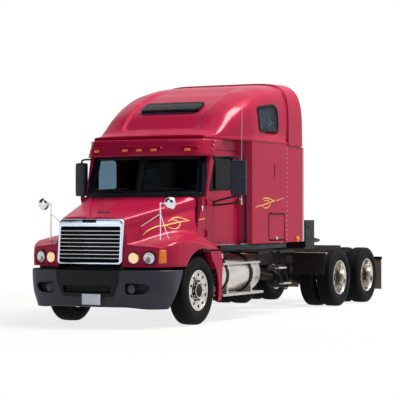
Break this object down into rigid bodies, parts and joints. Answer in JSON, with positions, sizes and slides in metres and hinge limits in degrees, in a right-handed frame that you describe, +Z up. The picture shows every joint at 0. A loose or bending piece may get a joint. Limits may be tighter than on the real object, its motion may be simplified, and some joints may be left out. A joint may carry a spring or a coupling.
{
  "type": "semi truck tractor unit",
  "caption": "Conventional highway tractor with raised-roof sleeper, tilting hood, opening doors, steered front axle, dual tandem drive wheels and a rocking fifth wheel.",
  "frame": {"origin": "ground level under the middle of the overall length and width", "axes": "+X forward, +Y to the left side, +Z up"},
  "size_m": [8.835, 3.0244, 3.7988],
  "materials": {
    "frame": "satin black",
    "powertrain": "cast",
    "front_axle": "satin black",
    "drive_axles": "cast",
    "rear_suspension": "satin black",
    "radiator": "matt",
    "bumper": "moulded, blue-grey",
    "bumper_insert": "matt black",
    "fuel_tanks": "polished",
    "tank_steps": "extruded",
    "deck_plate": "tread plate",
    "deck_ladder": "black",
    "mud_flaps": "matt",
    "chassis_lamps": "amber lens",
    "coupling_base": "black",
    "hookup_box": "black",
    "cab_shell": "metallic gloss",
    "sleeper_shell": "metallic gloss",
    "roof_cap": "metallic gloss",
    "visor": "metallic gloss",
    "side_extenders": "metallic gloss",
    "fixed_glass": "tinted",
    "dashboard": "matt",
    "seats": "woven",
    "quarter_panels": "metallic gloss",
    "hood": "metallic gloss",
    "grille": "chromed",
    "hood_lamps": "clear lens",
    "hood_mirrors": "chromed",
    "door_left": "metallic gloss",
    "door_glass_left": "tinted",
    "door_mirror_left": "grained",
    "door_right": "metallic gloss",
    "door_glass_right": "tinted",
    "door_mirror_right": "grained",
    "luggage_door_left": "metallic gloss",
    "luggage_door_right": "metallic gloss",
    "knuckle_left": "forged",
    "knuckle_right": "forged",
    "tie_rod": "black",
    "steering_wheel": "grained",
    "front_tyre_left": "rubber",
    "front_rim_left": "polished",
    "front_tyre_right": "rubber",
    "front_rim_right": "polished",
    "drive_tyres_1_left": "rubber",
    "drive_rims_1_left": "polished",
    "drive_tyres_1_right": "rubber",
    "drive_rims_1_right": "polished",
    "drive_tyres_2_left": "rubber",
    "drive_rims_2_left": "polished",
    "drive_tyres_2_right": "rubber",
    "drive_rims_2_right": "polished",
    "coupling_plate": "greased"
  },
  "bodies": {
    "chassis": {"frame": "frame", "powertrain": "powertrain", "front_axle": "front_axle", "drive_axles": "drive_axles", "rear_suspension": "rear_suspension", "radiator": "radiator", "bumper": "bumper", "bumper_insert": "bumper_insert", "fuel_tanks": "fuel_tanks", "tank_steps": "tank_steps", "deck_plate": "deck_plate", "deck_ladder": "deck_ladder", "mud_flaps": "mud_flaps", "chassis_lamps": "chassis_lamps", "coupling_base": "coupling_base", "hookup_box": "hookup_box", "cab_shell": "cab_shell", "sleeper_shell": "sleeper_shell", "roof_cap": "roof_cap", "visor": "visor", "side_extenders": "side_extenders", "fixed_glass": "fixed_glass", "dashboard": "dashboard", "seats": "seats", "quarter_panels": "quarter_panels"},
    "hood": {"hood": "hood", "grille": "grille", "hood_lamps": "hood_lamps", "hood_mirrors": "hood_mirrors"},
    "door_left": {"door_left": "door_left", "door_glass_left": "door_glass_left", "door_mirror_left": "door_mirror_left"},
    "door_right": {"door_right": "door_right", "door_glass_right": "door_glass_right", "door_mirror_right": "door_mirror_right"},
    "luggage_door_left": {"luggage_door_left": "luggage_door_left"},
    "luggage_door_right": {"luggage_door_right": "luggage_door_right"},
    "knuckle_left": {"knuckle_left": "knuckle_left"},
    "knuckle_right": {"knuckle_right": "knuckle_right"},
    "tie_rod": {"tie_rod": "tie_rod"},
    "steering_wheel": {"steering_wheel": "steering_wheel"},
    "front_wheel_left": {"front_tyre_left": "front_tyre_left", "front_rim_left": "front_rim_left"},
    "front_wheel_right": {"front_tyre_right": "front_tyre_right", "front_rim_right": "front_rim_right"},
    "drive_wheels_1_left": {"drive_tyres_1_left": "drive_tyres_1_left", "drive_rims_1_left": "drive_rims_1_left"},
    "drive_wheels_1_right": {"drive_tyres_1_right": "drive_tyres_1_right", "drive_rims_1_right": "drive_rims_1_right"},
    "drive_wheels_2_left": {"drive_tyres_2_left": "drive_tyres_2_left", "drive_rims_2_left": "drive_rims_2_left"},
    "drive_wheels_2_right": {"drive_tyres_2_right": "drive_tyres_2_right", "drive_rims_2_right": "drive_rims_2_right"},
    "coupling_plate": {"coupling_plate": "coupling_plate"}
  },
  "joints": [
    {"name": "hood_tilt", "type": "hinge", "parent": "chassis", "child": "hood", "pos_m": [4.3185, 0, 0.858], "axis": [0, 1, 0], "range_deg": [0, 78]},
    {"name": "door_left_swing", "type": "hinge", "parent": "chassis", "child": "door_left", "pos_m": [2.6845, 1.062, 1.335], "axis": [0, 0, -1], "range_deg": [0, 68]},
    {"name": "door_right_swing", "type": "hinge", "parent": "chassis", "child": "door_right", "pos_m": [2.6845, -1.062, 1.335], "axis": [0, 0, 1], "range_deg": [0, 68]},
    {"name": "luggage_left_lift", "type": "hinge", "parent": "chassis", "child": "luggage_door_left", "pos_m": [0.5125, 1.227, 1.644], "axis": [1, 0, 0], "range_deg": [0, 85]},
    {"name": "luggage_right_lift", "type": "hinge", "parent": "chassis", "child": "luggage_door_right", "pos_m": [0.5125, -1.227, 1.644], "axis": [-1, 0, 0], "range_deg": [0, 85]},
    {"name": "steer", "type": "hinge", "parent": "chassis", "child": "knuckle_left", "pos_m": [3.1325, 0.88, 0.505], "axis": [0, 0, 1], "range_deg": [-40, 40]},
    {"name": "steer_right", "type": "hinge", "parent": "chassis", "child": "knuckle_right", "pos_m": [3.1325, -0.88, 0.505], "axis": [0, 0, 1], "range_deg": [-40, 40]},
    {"name": "tie_rod_pivot", "type": "hinge", "parent": "knuckle_left", "child": "tie_rod", "pos_m": [2.9625, 0.88, 0.385], "axis": [0, 0, 1], "range_deg": [-40, 40]},
    {"name": "steering_wheel_turn", "type": "hinge", "parent": "chassis", "child": "steering_wheel", "pos_m": [2.3125, 0.48, 1.83], "axis": [-0.829, 0, 0.5592], "range_deg": [-700, 700]},
    {"name": "front_left_roll", "type": "hinge", "parent": "knuckle_left", "child": "front_wheel_left", "pos_m": [3.1325, 1.03, 0.505], "axis": [0, 1, 0], "continuous": true},
    {"name": "front_right_roll", "type": "hinge", "parent": "knuckle_right", "child": "front_wheel_right", "pos_m": [3.1325, -1.03, 0.505], "axis": [0, 1, 0], "continuous": true},
    {"name": "drive_1_left_roll", "type": "hinge", "parent": "chassis", "child": "drive_wheels_1_left", "pos_m": [-2.2075, 0.915, 0.505], "axis": [0, 1, 0], "continuous": true},
    {"name": "drive_1_right_roll", "type": "hinge", "parent": "chassis", "child": "drive_wheels_1_right", "pos_m": [-2.2075, -0.915, 0.505], "axis": [0, 1, 0], "continuous": true},
    {"name": "drive_2_left_roll", "type": "hinge", "parent": "chassis", "child": "drive_wheels_2_left", "pos_m": [-3.5275, 0.915, 0.505], "axis": [0, 1, 0], "continuous": true},
    {"name": "drive_2_right_roll", "type": "hinge", "parent": "chassis", "child": "drive_wheels_2_right", "pos_m": [-3.5275, -0.915, 0.505], "axis": [0, 1, 0], "continuous": true},
    {"name": "coupling_rock", "type": "hinge", "parent": "chassis", "child": "coupling_plate", "pos_m": [-2.7475, 0, 1.12], "axis": [0, 1, 0], "range_deg": [0, 20]}
  ],
  "couplings": [
    {"joint": "steer_right", "follows": "steer", "ratio": 1},
    {"joint": "tie_rod_pivot", "follows": "steer", "ratio": -1},
    {"joint": "steering_wheel_turn", "follows": "steer", "ratio": 16}
  ]
}
